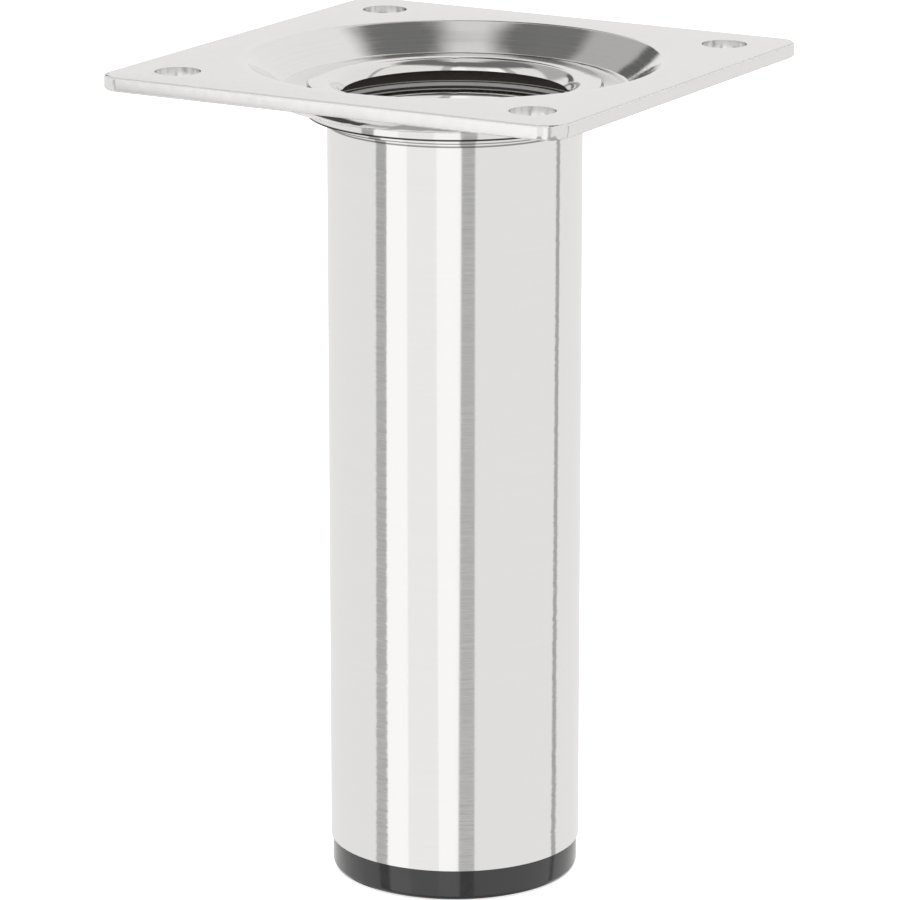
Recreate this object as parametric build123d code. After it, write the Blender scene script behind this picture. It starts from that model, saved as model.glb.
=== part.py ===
from build123d import *
import math
import os

os.makedirs("parts", exist_ok=True)

# Steel furniture leg: a round tube under a square screw plate, with a plastic foot cap.
# Millimetres, +Z up, origin on the axis at the underside of the foot cap.

# Leg tube
leg_height = 99.75
tube_radius = 15.1
tube_wall = 1.0

# Mounting plate, pressed from sheet
plate_side = 61.0
plate_thickness = 1.7
plate_corner_radius = 3.0
plate_edge_break = 0.2

# Round dish pressed into the plate
dish_depth = 3.3
dish_floor_land = 2.9
dish_wall_run = 4.2
dish_rim_bend_radius = 0.8
dish_floor_bend_radius = 0.8
dish_rim_land = 0.3

# Screw holes, plain and punched
screw_edge_distance = 7.0
screw_hole_diameter = 5.4

# Ring that closes the top of the tube and enters the collar
ring_neck_step = 1.0
ring_neck_wall = 0.9
ring_neck_rise = 0.65
ring_shoulder_thickness = 0.65
ring_band_height = 0.5
ring_spigot_length = 6.0

# Collar pressed into the dish floor
collar_wall = 1.4
collar_top_rise = 0.6
collar_bottom_drop = 1.5
collar_edge_break = 0.3

# Rounded lips of the collar and of the ring
lip_bend_radius = 1.97
collar_lip_sweep = 72.5
ring_lip_sweep = 68.0

# Foot cap
cap_rim_height = 3.9
cap_inset = 0.25
cap_edge_round = 0.7
cap_plug_height = 9.0
cap_plug_clearance = 0.4
cap_wall = 1.6
cap_rib_count = 8
cap_rib_width = 1.0
cap_lead_in = 0.8

# Straight steps in a turned round, few because each one costs a band of facets
lip_steps = 3
bend_steps = 1
cap_edge_steps = 2

# Radii that follow from the sizes above
tube_bore_radius = tube_radius - tube_wall
ring_neck_radius = tube_radius + ring_neck_step
lip_start_radius = ring_neck_radius - ring_neck_wall
collar_radius = ring_neck_radius + collar_wall
dish_floor_radius = collar_radius + dish_floor_land
dish_rim_radius = dish_floor_radius + dish_wall_run
cap_rim_radius = tube_radius - cap_inset
cap_plug_radius = tube_bore_radius - cap_plug_clearance

# Heights that follow from the sizes above
plate_top = leg_height
plate_underside = plate_top - plate_thickness
floor_top = plate_top - dish_depth
floor_underside = floor_top - plate_thickness
collar_top = floor_top + collar_top_rise
collar_bottom = floor_underside - collar_bottom_drop
ring_shoulder_top = collar_bottom
ring_shoulder_bottom = ring_shoulder_top - ring_shoulder_thickness
tube_top = ring_shoulder_bottom - ring_band_height


def stepped(curve, steps):
    """Points on a round stretch, from its start to its end, in even steps."""
    return [curve @ (step / steps) for step in range(steps + 1)]


def bend(before, corner, after, radius, steps):
    """Points of a round bend that takes the place of a corner in an outline."""
    corner = Vector(*corner)
    arriving = (corner - Vector(*before)).normalized()
    leaving = (Vector(*after) - corner).normalized()
    turn = math.radians(arriving.get_angle(leaving))
    reach = radius * math.tan(turn / 2)
    start = corner - arriving * reach
    end = corner + leaving * reach
    return stepped(TangentArc(start, end, tangent=arriving), steps)


def lip(top, sweep):
    """Points of a rounded lip that turns in and down from a top face at the given height."""
    centre = (lip_start_radius, top - lip_bend_radius)
    return stepped(CenterArc(centre, lip_bend_radius, 90, sweep), lip_steps)


def turned(*points):
    """Solid of revolution about Z from the (radius, height) corners of its section."""
    section = make_face(Polyline(*points, close=True))
    return revolve(Plane.XZ * section, Axis.Z)


def dish():
    """Turned sheet of the dish and its floor, with parallel faces, and its outside radius."""
    slope = math.atan2(dish_depth, dish_wall_run)
    shift = plate_thickness * math.tan(slope / 2)
    floor_outer_bend = dish_floor_bend_radius + plate_thickness
    outside = dish_rim_radius + shift + dish_rim_bend_radius + dish_rim_land
    upper_start = (collar_radius, floor_top)
    upper_floor = (dish_floor_radius, floor_top)
    upper_rim = (dish_rim_radius, plate_top)
    upper_end = (outside, plate_top)
    lower_start = (collar_radius, floor_underside)
    lower_floor = (dish_floor_radius + shift, floor_underside)
    lower_rim = (dish_rim_radius + shift, plate_underside)
    lower_end = (outside, plate_underside)
    sheet = turned(
        upper_start,
        *bend(upper_start, upper_floor, upper_rim, dish_floor_bend_radius, bend_steps),
        *bend(upper_floor, upper_rim, upper_end, dish_rim_bend_radius, bend_steps),
        upper_end,
        lower_end,
        *bend(lower_end, lower_rim, lower_floor, dish_rim_bend_radius, bend_steps),
        *bend(lower_rim, lower_floor, lower_start, floor_outer_bend, bend_steps),
        lower_start,
    )
    return sheet, outside


def mounting_plate():
    """Square sheet with a pressed dish, a hole for the collar and four screw holes."""
    outline = RectangleRounded(plate_side, plate_side, plate_corner_radius)
    sheet = extrude(Pos(0, 0, plate_underside) * outline, plate_thickness)
    rim_edges = sheet.edges().filter_by(Plane.XY)
    sheet = chamfer(rim_edges, plate_edge_break)
    pressing, outside = dish()
    opening = Pos(0, 0, plate_underside) * Cylinder(outside, 3 * plate_thickness)
    screw_hole = Pos(0, 0, plate_underside) * Cylinder(screw_hole_diameter / 2, 3 * plate_thickness)
    screw_spacing = plate_side - 2 * screw_edge_distance
    screw_holes = [place * screw_hole for place in GridLocations(screw_spacing, screw_spacing, 2, 2)]
    return sheet - opening + pressing - screw_holes


def collar():
    """Turned bush pressed into the dish floor, with a rounded lip over a wider bore."""
    lip_points = lip(collar_top, collar_lip_sweep)
    lip_underside = lip_points[-1].Y
    return turned(
        *lip_points,
        (ring_neck_radius, lip_underside),
        (ring_neck_radius, collar_bottom),
        (collar_radius, collar_bottom),
        (collar_radius, collar_top - collar_edge_break),
        (collar_radius - collar_edge_break, collar_top),
    )


def tube_ring():
    """Turned ring on the end of the tube: neck in the collar, rounded lip, spigot in the tube."""
    neck_top = ring_shoulder_top + ring_neck_rise
    spigot_bottom = tube_top - ring_spigot_length
    lip_points = lip(ring_shoulder_top, ring_lip_sweep)
    return turned(
        *lip_points,
        (lip_points[-1].X, spigot_bottom),
        (tube_bore_radius, spigot_bottom),
        (tube_bore_radius, tube_top),
        (tube_radius, tube_top),
        (tube_radius, ring_shoulder_bottom),
        (ring_neck_radius, ring_shoulder_bottom),
        (ring_neck_radius, neck_top),
        (lip_start_radius, neck_top),
    )


def leg_tube():
    """Round steel tube between the foot cap and the ring."""
    length = tube_top - cap_rim_height
    wall = Circle(tube_radius) - Circle(tube_bore_radius)
    return extrude(Pos(0, 0, cap_rim_height) * wall, length)


def cap_rib():
    """One crush rib on the plug, at +X, that reaches the bore of the tube."""
    height = cap_plug_height - cap_lead_in
    depth = tube_bore_radius - cap_plug_radius + cap_wall / 2
    bar = Box(depth, cap_rib_width, height, align=(Align.MAX, Align.CENTER, Align.MIN))
    return Pos(tube_bore_radius, 0, cap_rim_height) * bar


def foot_cap():
    """Plastic glide with a hollow plug and crush ribs that hold it in the tube."""
    plug_top = cap_rim_height + cap_plug_height
    plug_bore = cap_plug_radius - cap_wall
    middle = (0, 0)
    edge = (cap_rim_radius, 0)
    rim_top = (cap_rim_radius, cap_rim_height)
    cap = turned(
        middle,
        *bend(middle, edge, rim_top, cap_edge_round, cap_edge_steps),
        rim_top,
        (cap_plug_radius, cap_rim_height),
        (cap_plug_radius, plug_top),
        (plug_bore, plug_top),
        (plug_bore, cap_rim_height),
        (0, cap_rim_height),
    )
    ribs = [place * cap_rib() for place in PolarLocations(0, cap_rib_count)]
    envelope = Pos(0, 0, cap_rim_height) * Cylinder(
        tube_bore_radius, cap_plug_height, align=(Align.CENTER, Align.CENTER, Align.MIN)
    )
    ribs = [rib & envelope for rib in ribs]
    return cap + ribs


pieces = {
    "mounting_plate": mounting_plate(),
    "collar": collar(),
    "tube_ring": tube_ring(),
    "leg_tube": leg_tube(),
    "foot_cap": foot_cap(),
}

for name, piece in pieces.items():
    export_step(piece, f"parts/{name}.step")
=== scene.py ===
import math
import bpy
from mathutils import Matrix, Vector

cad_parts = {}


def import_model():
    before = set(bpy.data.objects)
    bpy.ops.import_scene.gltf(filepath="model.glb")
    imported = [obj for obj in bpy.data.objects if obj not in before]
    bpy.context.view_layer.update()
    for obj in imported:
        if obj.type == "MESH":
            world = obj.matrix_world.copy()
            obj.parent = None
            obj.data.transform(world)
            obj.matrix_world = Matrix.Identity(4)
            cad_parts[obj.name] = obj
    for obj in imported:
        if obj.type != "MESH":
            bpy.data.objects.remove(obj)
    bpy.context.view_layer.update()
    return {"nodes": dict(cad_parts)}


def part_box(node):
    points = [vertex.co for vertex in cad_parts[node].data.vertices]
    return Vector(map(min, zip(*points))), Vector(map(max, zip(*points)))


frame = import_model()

# Camera: solved from the edges in the photograph, which is 900 pixels wide
picture_px = 900
focal_length_px = 5065
centre_column_px = 454.85
sensor_width_mm = 36.0
camera_azimuth = math.radians(29.91)
camera_pitch = math.radians(15.078)
camera_distance = 0.5865
camera_height = 0.210

# Floor under the leg, a hair lower than the foot cap
floor_radius = 3.0
floor_corners = 96
floor_colour = (0.86, 0.86, 0.86, 1)
floor_glow = 0.72
floor_drop = 0.00005

# Soft lamp over the leg, which gives the floor shadow
lamp_size = 0.6
lamp_height = 0.9
lamp_watts = 2.2

# Levels that the world gives to each kind of ray
background_level = 1.0
ambient_level = 0.75
neutral_white = (1.0, 1.0, 1.0, 1)

# Studio seen in reflections: an even wall, and patches over it in the order of the lists.
# Bearings are degrees to the right of the camera's side as seen from the leg.
wall_level = 0.86
studio_colour = (1.0, 0.992, 0.982, 1)
panel_blur = 0.8
straight_down = -90.0
straight_up = 90.0

# Panels and the darker gaps between them, of full height: bearing from left to right, and level
front_panels = [
    (-64.6, -43.5, 1.09),
    (-43.5, -15.4, 0.94),
    (-15.4, 4.0, 1.08),
    (103.0, 109.0, 0.42),
]
front_gaps = [
    (-76.6, -64.6, 0.47),
    (5.0, 18.0, 0.50),
]
gap_variation = 0.9
gap_stripes_per_degree = 0.5

# Patches behind the leg and under it: bearings, elevations from low to high, level and blur
back_patches = [
    (-166.0, -116.0, 20.0, 54.0, 0.46, 8.0),
    (-163.0, -109.0, 49.0, 65.0, 0.18, 6.0),
    (-166.0, -155.0, 9.0, 24.0, 0.13, 4.0),
    (170.0, 192.0, 37.0, 49.0, 0.07, 3.0),
    (181.0, 188.0, 24.0, 40.0, 0.08, 2.0),
    (-180.0, 180.0, -90.0, -42.0, 0.45, 3.0),
    (-175.0, -140.0, -50.0, -36.0, 0.06, 3.0),
    (-178.0, -89.0, -75.0, -49.0, 0.84, 2.0),
]

# Studio ceiling, dark and tipped to the left and the back, with one lamp behind the zenith
ceiling_level = 0.17
ceiling_elevation = 57.7
ceiling_blur = 9.0
ceiling_tip_left = math.radians(6.0)
ceiling_tip_back = math.radians(4.0)
ceiling_lamp_level = 0.72
ceiling_lamp_tilt = 21.0
ceiling_lamp_half_length = 20.0
ceiling_lamp_side = -3.9
ceiling_lamp_half_width = 7.0
ceiling_lamp_blur = 9.0

# Middle of a noise, and the stretches of it over which a tone or a roughness runs
noise_middle = 0.5
narrow_stretch = (0.35, 0.65)
medium_stretch = (0.3, 0.7)
wide_stretch = (0.25, 0.75)

# Steel tube brushed round its girth; noise scales are along X, Y and Z
tube_tones = ((0.85, 0.85, 0.85), (0.875, 0.875, 0.875))
tube_roughness = (0.05, 0.1)
tube_bore_roughness = 0.55
tube_fine_scale = (90, 90, 4200)
tube_coarse_scale = (60, 60, 900)
tube_coarse_share = 0.35
tube_tip = 0.2

# Satin sheet steel of the plate, with turned streaks inside the dish's edge
plate_tones = ((0.835, 0.832, 0.828), (0.88, 0.877, 0.872))
plate_tone_contrast = 0.35
plate_roughness = (0.14, 0.2)
plate_grain_scale = 900.0
dish_edge_start = 0.0250
dish_edge_end = 0.0258
dish_roughness = (0.05, 0.14)
dish_rows_per_metre = 5000.0
dish_rows_share = 0.7

# Broken edge along the plate's outline, duller than its faces and painted a lighter tone as a highlight; a
# level face has a slope of 1
plate_half_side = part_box("mounting_plate")[1][0]
edge_zone = 0.0006
edge_slope_from = 0.3
edge_slope_to = 0.95
edge_roughness = 0.8
edge_painted_highlight = (1.0, 0.997, 0.992, 1)

# Turned and polished steel of the collar and the ring
ring_tones = ((0.83, 0.822, 0.81), (0.87, 0.862, 0.85))
ring_roughness = (0.06, 0.1)
ring_rows_per_metre = 4000.0

# Dark colour painted as shade in the tube's bore and between the two lips, and the finish of those walls
# and of the wall of the ring's neck
painted_recess_shade = (0.09, 0.075, 0.062, 1)
ring_bore_roughness = 0.5
neck_metal = 0.0
neck_margin = 0.00005
inwards_from = 0.93
inwards_to = 0.97

# Painted shade lines on upright walls, for shadow and dark reflections at the joints: collar to ring,
# under the ring's shoulder, and the tube's end
collar_shade_line_lift = 0.00006
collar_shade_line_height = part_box("collar")[0][2] + collar_shade_line_lift
collar_shade_line_width = 0.0003
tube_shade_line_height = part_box("leg_tube")[1][2]
tube_shade_line_width = 0.0002
shoulder_shade_line_rise = 0.00055
shoulder_shade_line_height = tube_shade_line_height + shoulder_shade_line_rise
shoulder_shade_line_width = 0.00015
painted_shade_dark = (0.05, 0.05, 0.05, 1)
painted_shade_grey = (0.3, 0.3, 0.3, 1)
shade_line_full_share = 0.35
shade_line_fade_share = 0.65
upright_slope = 0.5

# Black moulded plastic of the foot cap
cap_tones = ((0.010, 0.010, 0.011), (0.018, 0.018, 0.019))
cap_roughness = (0.07, 0.11)
cap_grain_scale = 5200.0
cap_cloud_scale = 140.0
cap_cloud_share = 0.5
cap_grain_strength = 0.05
cap_grain_depth = 0.00005
cap_refraction = 1.6
cap_gloss = 0.65
cap_sheen = 0.7
cap_sheen_roughness = 0.3

# Corners sharper than this stay sharp in the smoothing
sharp_angle = math.radians(50)
weld_distance = 1e-6


class Tree:
    """Short calls for building a node tree."""

    def __init__(self, tree):
        self.tree = tree
        tree.nodes.clear()

    def add(self, kind, inputs=None, **settings):
        """A node with its settings, and its inputs set to values or linked to sockets."""
        made = self.tree.nodes.new(kind)
        for name, value in settings.items():
            setattr(made, name, value)
        for key, value in (inputs or {}).items():
            self.put(made.inputs[key], value)
        return made

    def put(self, socket, value):
        """Links an output socket, or sets a constant on the input itself."""
        if isinstance(value, bpy.types.NodeSocket):
            self.tree.links.new(value, socket)
        else:
            socket.default_value = value

    def math(self, operation, *values):
        """One Math node on up to three values."""
        made = self.add("ShaderNodeMath", dict(enumerate(values)), operation=operation)
        return made.outputs[0]

    def vector(self, operation, *values):
        """One Vector Math node; a dot product or a length gives its number."""
        made = self.add("ShaderNodeVectorMath", dict(enumerate(values)), operation=operation)
        return made.outputs["Value" if operation in ("DOT_PRODUCT", "LENGTH") else "Vector"]

    def combine(self, x=0.0, y=0.0, z=0.0):
        """A vector from up to three numbers."""
        return self.add("ShaderNodeCombineXYZ", {0: x, 1: y, 2: z}).outputs[0]

    def separate(self, vector):
        """The three numbers of a vector."""
        return self.add("ShaderNodeSeparateXYZ", {0: vector}).outputs

    def smooth(self, value, low, high, to_low=0.0, to_high=1.0):
        """Smooth step of a value between two limits."""
        made = self.add(
            "ShaderNodeMapRange",
            {"Value": value, "From Min": low, "From Max": high, "To Min": to_low, "To Max": to_high},
            interpolation_type="SMOOTHSTEP",
        )
        return made.outputs[0]

    def mix(self, factor, first, second):
        """Plain mix of two numbers, which are inputs 2 and 3 of a Mix node."""
        return self.add("ShaderNodeMix", {0: factor, 2: first, 3: second}, data_type="FLOAT").outputs[0]

    def mix_colours(self, factor, first, second):
        """Plain mix of two colours, which are inputs 6 and 7 of a Mix node."""
        return self.add("ShaderNodeMix", {0: factor, 6: first, 7: second}, data_type="RGBA").outputs[2]

    def noise(self, vector, scale=1.0, detail=2.0, roughness=0.5):
        """Noise from 0 to 1 at a place."""
        made = self.add(
            "ShaderNodeTexNoise",
            {"Vector": vector, "Scale": scale, "Detail": detail, "Roughness": roughness},
        )
        return made.outputs[0]

    def place(self):
        """Place on the part, in the frame of the CAD."""
        return self.add("ShaderNodeTexCoord").outputs["Object"]

    def level_part(self, vector):
        """A vector without its height, so its length is a radius about the leg's axis."""
        return self.vector("MULTIPLY", vector, (1, 1, 0))

    def slope(self):
        """0 on an upright wall and 1 on a level face."""
        normal = self.add("ShaderNodeNewGeometry").outputs["True Normal"]
        return self.math("ABSOLUTE", self.separate(normal)[2])


def camera():
    """The photograph's camera."""
    data = bpy.data.cameras.new("camera")
    data.sensor_fit = "HORIZONTAL"
    data.sensor_width = sensor_width_mm
    data.lens = sensor_width_mm * focal_length_px / picture_px
    data.shift_x = (picture_px / 2 - centre_column_px) / picture_px
    data.clip_start = 0.01
    data.clip_end = 100
    made = bpy.data.objects.new("camera", data)
    made.location = (
        camera_distance * math.sin(camera_azimuth),
        -camera_distance * math.cos(camera_azimuth),
        camera_height,
    )
    made.rotation_euler = (math.pi / 2 - camera_pitch, 0, camera_azimuth)
    bpy.context.scene.collection.objects.link(made)
    bpy.context.scene.camera = made


def band(t, value, middle, half_width, blur):
    """1 where a value is within a half width of the middle and 0 outside, with soft sides."""
    gap = t.math("ABSOLUTE", t.math("SUBTRACT", value, middle))
    return t.smooth(gap, half_width - blur / 2, half_width + blur / 2, 1.0, 0.0)


def patch(t, bearing, elevation, left, right, low, high, blur):
    """1 inside a patch of the studio and 0 outside; it may run across the back."""
    from_middle = t.math("WRAP", t.math("SUBTRACT", bearing, (left + right) / 2), 180.0, -180.0)
    across = band(t, from_middle, 0.0, (right - left) / 2, blur)
    upright = band(t, elevation, (low + high) / 2, (high - low) / 2, blur)
    return t.math("MULTIPLY", across, upright)


def panel(t, bearing, elevation, left, right):
    """1 inside a patch of full height and 0 outside."""
    return patch(t, bearing, elevation, left, right, straight_down, straight_up, panel_blur)


def ceiling_lamp(t, front, right, up):
    """1 on the lamp behind the zenith and 0 outside, with soft sides."""
    back_tilt = t.math("DEGREES", t.math("ARCTAN2", t.math("MULTIPLY", front, -1.0), up))
    side_tilt = t.math("DEGREES", t.math("ARCTAN2", right, up))
    along = band(t, back_tilt, ceiling_lamp_tilt, ceiling_lamp_half_length, ceiling_lamp_blur)
    across = band(t, side_tilt, ceiling_lamp_side, ceiling_lamp_half_width, ceiling_lamp_blur)
    return t.math("MULTIPLY", along, across)


def overhead(t, direction):
    """1 on the ceiling and 0 below its soft edge, for a direction as front, right and up."""
    middle = (
        -math.sin(ceiling_tip_back),
        -math.sin(ceiling_tip_left),
        math.cos(ceiling_tip_back) * math.cos(ceiling_tip_left),
    )
    height = t.math("DEGREES", t.math("ARCSINE", t.vector("DOT_PRODUCT", direction, middle)))
    half_blur = ceiling_blur / 2
    return t.smooth(height, ceiling_elevation - half_blur, ceiling_elevation + half_blur)


def stripes_by_elevation(t, elevation):
    """Lighter and darker stripes, one above the other, that streak a brushed face."""
    place = t.combine(t.math("MULTIPLY", elevation, gap_stripes_per_degree))
    return t.math("MULTIPLY", t.math("SUBTRACT", t.noise(place), noise_middle), gap_variation)


def reflected_direction(t):
    """The way that a reflected ray takes, as front, right and up, where front is the camera's side."""
    turned = t.add(
        "ShaderNodeVectorRotate",
        {
            "Vector": t.add("ShaderNodeTexCoord").outputs["Generated"],
            "Axis": (0, 0, 1),
            "Angle": math.pi / 2 - camera_azimuth,
        },
        rotation_type="AXIS_ANGLE",
    )
    return turned.outputs[0]


def studio(t):
    """Level of the studio in the direction that a reflected ray takes."""
    direction = reflected_direction(t)
    front, right, up = t.separate(direction)
    bearing = t.math("DEGREES", t.math("ARCTAN2", right, front))
    elevation = t.math("DEGREES", t.math("ARCSINE", up))
    level = wall_level
    for left_end, right_end, shade in front_panels:
        level = t.mix(panel(t, bearing, elevation, left_end, right_end), level, shade)
    stripes = stripes_by_elevation(t, elevation)
    for left_end, right_end, shade in front_gaps:
        streaked = t.math("ADD", shade, stripes)
        level = t.mix(panel(t, bearing, elevation, left_end, right_end), level, streaked)
    level = t.mix(overhead(t, direction), level, ceiling_level)
    for left_end, right_end, low, high, shade, blur in back_patches:
        mask = patch(t, bearing, elevation, left_end, right_end, low, high, blur)
        level = t.mix(mask, level, shade)
    return t.mix(ceiling_lamp(t, front, right, up), level, ceiling_lamp_level)


def world():
    """White to the camera, the studio to reflections, and an even level to diffuse surfaces."""
    made = bpy.data.worlds.new("studio")
    made.use_nodes = True
    bpy.context.scene.world = made
    t = Tree(made.node_tree)
    rays = t.add("ShaderNodeLightPath").outputs
    seen = t.add("ShaderNodeBackground", {"Color": neutral_white, "Strength": background_level})
    mirrored = t.add("ShaderNodeBackground", {"Color": studio_colour, "Strength": studio(t)})
    ambient = t.add("ShaderNodeBackground", {"Color": neutral_white, "Strength": ambient_level})
    lit = t.add(
        "ShaderNodeMixShader",
        {0: rays["Is Glossy Ray"], 1: ambient.outputs[0], 2: mirrored.outputs[0]},
    )
    direct = t.math("MAXIMUM", rays["Is Camera Ray"], rays["Is Transmission Ray"])
    final = t.add("ShaderNodeMixShader", {0: direct, 1: lit.outputs[0], 2: seen.outputs[0]})
    t.add("ShaderNodeOutputWorld", {"Surface": final.outputs[0]})


def new_material(name):
    """An empty material and its tree."""
    material = bpy.data.materials.new(name)
    material.use_nodes = True
    return material, Tree(material.node_tree)


def floor_look():
    """Pale and glowing to white from above, and clear from below."""
    material, t = new_material("pale_floor")
    rays = t.add("ShaderNodeLightPath").outputs
    matt = t.add("ShaderNodeBsdfDiffuse", {"Color": floor_colour})
    glow = t.add("ShaderNodeEmission", {"Strength": t.math("MULTIPLY", rays["Is Camera Ray"], floor_glow)})
    both = t.add("ShaderNodeAddShader", {0: matt.outputs[0], 1: glow.outputs[0]})
    from_below = t.add("ShaderNodeNewGeometry").outputs["Backfacing"]
    clear = t.add("ShaderNodeBsdfTransparent")
    either = t.add("ShaderNodeMixShader", {0: from_below, 1: both.outputs[0], 2: clear.outputs[0]})
    t.add("ShaderNodeOutputMaterial", {"Surface": either.outputs[0]})
    return material


def floor():
    """Plain floor that keeps the leg's shadow and isn't mirrored in the steel."""
    bpy.ops.mesh.primitive_circle_add(
        vertices=floor_corners,
        radius=floor_radius,
        fill_type="NGON",
        location=(0, 0, -floor_drop),
    )
    made = bpy.context.object
    made.name = "floor"
    made.data.materials.append(floor_look())
    made.visible_glossy = False


def soft_lamp():
    """Wide lamp above the leg, hidden from reflections."""
    data = bpy.data.lights.new("soft_lamp", "AREA")
    data.shape = "DISK"
    data.size = lamp_size
    data.energy = lamp_watts
    made = bpy.data.objects.new("soft_lamp", data)
    made.location = (0, 0, lamp_height)
    made.visible_glossy = False
    bpy.context.scene.collection.objects.link(made)


def principled(t, inputs):
    """The material's one surface, with these inputs."""
    surface = t.add("ShaderNodeBsdfPrincipled", inputs)
    t.add("ShaderNodeOutputMaterial", {"Surface": surface.outputs[0]})


def two_tones(t, factor, stretch, tones):
    """Colour that runs from the first tone to the last over a stretch of a factor."""
    ramp = t.add("ShaderNodeValToRGB", {0: factor})
    for element, position, tone in zip(ramp.color_ramp.elements, stretch, tones):
        element.position = position
        element.color = (*tone, 1)
    return ramp.outputs[0]


def facing_inwards(t):
    """1 on walls that face the leg's axis squarely and 0 on lips and outer faces."""
    geometry = t.add("ShaderNodeNewGeometry").outputs
    outwards = t.vector("NORMALIZE", t.level_part(geometry["Position"]))
    inwards = t.math("MULTIPLY", t.vector("DOT_PRODUCT", geometry["True Normal"], outwards), -1.0)
    return t.smooth(inwards, inwards_from, inwards_to)


def tipped_normal(t, noise, amount):
    """Surface normal tipped up and down by a noise about its middle."""
    normal = t.add("ShaderNodeNewGeometry").outputs["Normal"]
    tip = t.math("MULTIPLY", t.math("SUBTRACT", noise, noise_middle), amount)
    return t.vector("NORMALIZE", t.vector("ADD", normal, t.combine(z=tip)))


def paint_shade_line(t, tone, height, width, shade):
    """A tone with a line of painted shade round the leg's upright walls at a height."""
    gap = t.math("ABSOLUTE", t.math("SUBTRACT", t.separate(t.place())[2], height))
    on_wall = t.math("LESS_THAN", t.slope(), upright_slope)
    line = t.smooth(gap, width * shade_line_full_share, width * shade_line_fade_share, 1.0, 0.0)
    return t.mix_colours(t.math("MULTIPLY", line, on_wall), tone, shade)


def turned_rows(t, rows_per_metre, detail):
    """Noise in fine circles about the leg's axis, as a lathe leaves them."""
    place = t.place()
    radius = t.vector("LENGTH", t.level_part(place))
    across = t.math("MULTIPLY", radius, rows_per_metre)
    upwards = t.math("MULTIPLY", t.separate(place)[2], rows_per_metre)
    return t.noise(t.combine(across, upwards), detail=detail, roughness=0.6)


def brushed_tube():
    """Bright steel, brushed round its girth, with painted shade in its bore."""
    material, t = new_material("tube_steel_look")
    place = t.place()
    fine = t.noise(t.vector("MULTIPLY", place, tube_fine_scale), detail=3.0, roughness=0.7)
    coarse = t.noise(t.vector("MULTIPLY", place, tube_coarse_scale))
    rows = t.mix(tube_coarse_share, fine, coarse)
    bore = facing_inwards(t)
    tone = two_tones(t, rows, wide_stretch, tube_tones)
    # Painted shade line round the tube's top end.
    tone = paint_shade_line(t, tone, tube_shade_line_height, tube_shade_line_width, painted_shade_grey)
    rough = t.smooth(rows, *narrow_stretch, *tube_roughness)
    # The bore's dark colour is painted shade.
    principled(t, {
        "Base Color": t.mix_colours(bore, tone, painted_recess_shade),
        "Metallic": 1.0,
        "Roughness": t.mix(bore, rough, tube_bore_roughness),
        "Normal": tipped_normal(t, fine, tube_tip),
    })
    return material


def on_broken_edge(t, place):
    """1 on the sloping faces along the plate's outline and 0 elsewhere."""
    across, along, _ = t.separate(place)
    outermost = t.math("MAXIMUM", t.math("ABSOLUTE", across), t.math("ABSOLUTE", along))
    outside = t.math("GREATER_THAN", outermost, plate_half_side - edge_zone)
    slope = t.slope()
    above = t.math("GREATER_THAN", slope, edge_slope_from)
    below = t.math("LESS_THAN", slope, edge_slope_to)
    return t.math("MULTIPLY", outside, t.math("MULTIPLY", above, below))


def satin_plate():
    """Satin sheet steel, with turned streaks in the dish."""
    material, t = new_material("plate_steel_look")
    place = t.place()
    radius = t.vector("LENGTH", t.level_part(place))
    in_dish = t.smooth(radius, dish_edge_start, dish_edge_end, 1.0, 0.0)
    grain = t.noise(place, plate_grain_scale, detail=3.0, roughness=0.55)
    streaks = turned_rows(t, dish_rows_per_metre, detail=3.0)
    rows = t.mix(t.math("MULTIPLY", in_dish, dish_rows_share), grain, streaks)
    dish_rough = t.smooth(rows, *narrow_stretch, *dish_roughness)
    rough = t.mix(in_dish, t.smooth(rows, *medium_stretch, *plate_roughness), dish_rough)
    contrast = t.mix(in_dish, t.mix(plate_tone_contrast, noise_middle, rows), rows)
    tone = two_tones(t, contrast, medium_stretch, plate_tones)
    edge = on_broken_edge(t, place)
    # The broken edge gets a painted highlight tone as well as its own roughness.
    principled(t, {
        "Base Color": t.mix_colours(edge, tone, edge_painted_highlight),
        "Metallic": 1.0,
        "Roughness": t.mix(edge, rough, edge_roughness),
    })
    return material


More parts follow.
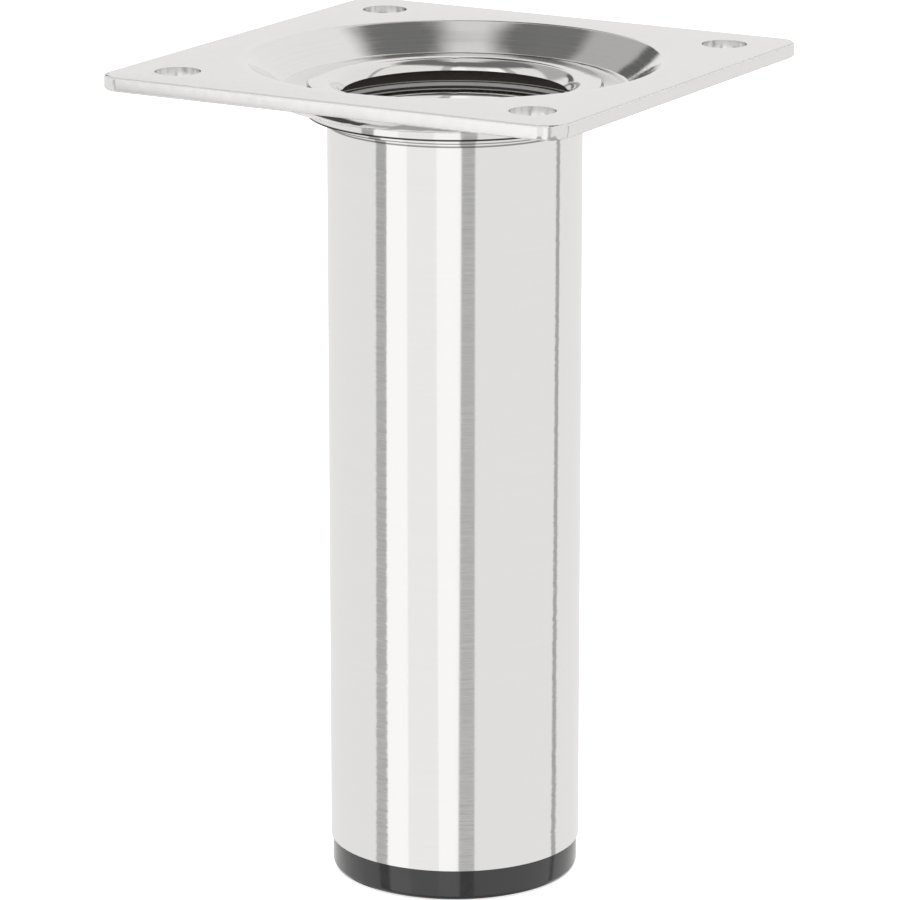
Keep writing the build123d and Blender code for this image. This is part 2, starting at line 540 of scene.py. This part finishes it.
def polished_ring():
    """Turned and polished steel of the collar and the ring, with painted shade on the walls between the
    lips and painted shade lines at the joints.
    """
    material, t = new_material("ring_steel_look")
    grooves = turned_rows(t, ring_rows_per_metre, detail=2.0)
    height = t.separate(t.place())[2]
    between_lips = t.math("GREATER_THAN", height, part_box("tube_ring")[1][2] + neck_margin)
    inwards = facing_inwards(t)
    cavity = t.math("MULTIPLY", inwards, between_lips)
    tone = two_tones(t, grooves, wide_stretch, ring_tones)
    # Painted shade lines under the collar, under the ring's shoulder and at the tube's end.
    tone = paint_shade_line(t, tone, collar_shade_line_height, collar_shade_line_width, painted_shade_dark)
    tone = paint_shade_line(t, tone, shoulder_shade_line_height, shoulder_shade_line_width, painted_shade_grey)
    tone = paint_shade_line(t, tone, tube_shade_line_height, tube_shade_line_width, painted_shade_grey)
    rough = t.smooth(grooves, *medium_stretch, *ring_roughness)
    # The dark colour on the walls between the lips is painted shade.
    principled(t, {
        "Base Color": t.mix_colours(cavity, tone, painted_recess_shade),
        "Metallic": t.mix(inwards, 1.0, neck_metal),
        "Roughness": t.mix(inwards, rough, ring_bore_roughness),
    })
    return material


def grained_cap():
    """Black moulded plastic with a fine grain."""
    material, t = new_material("cap_plastic_look")
    place = t.place()
    grain = t.noise(place, cap_grain_scale)
    cloud = t.noise(place, cap_cloud_scale)
    bump = t.add(
        "ShaderNodeBump",
        {"Strength": cap_grain_strength, "Distance": cap_grain_depth, "Height": grain},
    )
    principled(t, {
        "Base Color": two_tones(t, t.mix(cap_cloud_share, grain, cloud), medium_stretch, cap_tones),
        "Roughness": t.smooth(grain, *medium_stretch, *cap_roughness),
        "IOR": cap_refraction,
        "Specular IOR Level": cap_gloss,
        "Sheen Weight": cap_sheen,
        "Sheen Roughness": cap_sheen_roughness,
        "Normal": bump.outputs[0],
    })
    return material


def round_off(node):
    """Shades a CAD node's stepped rounds as smooth and keeps its sharp corners."""
    for polygon in node.data.polygons:
        polygon.use_smooth = True
    weld = node.modifiers.new("weld", "WELD")
    weld.merge_threshold = weld_distance
    corners = node.modifiers.new("sharp_corners", "EDGE_SPLIT")
    corners.split_angle = sharp_angle
    corners.use_edge_sharp = False
    normals = node.modifiers.new("even_normals", "WEIGHTED_NORMAL")
    normals.mode = "FACE_AREA"
    normals.keep_sharp = False


def dress():
    """Gives each CAD node its material and its smooth shading."""
    ring_steel = polished_ring()
    looks = {
        "mounting_plate": satin_plate(),
        "collar": ring_steel,
        "tube_ring": ring_steel,
        "leg_tube": brushed_tube(),
        "foot_cap": grained_cap(),
    }
    for name, material in looks.items():
        node = frame["nodes"][name]
        for slot in node.material_slots:
            slot.material = material
        round_off(node)


camera()
world()
floor()
soft_lamp()
dress()
bpy.context.scene.view_settings.view_transform = "Standard"
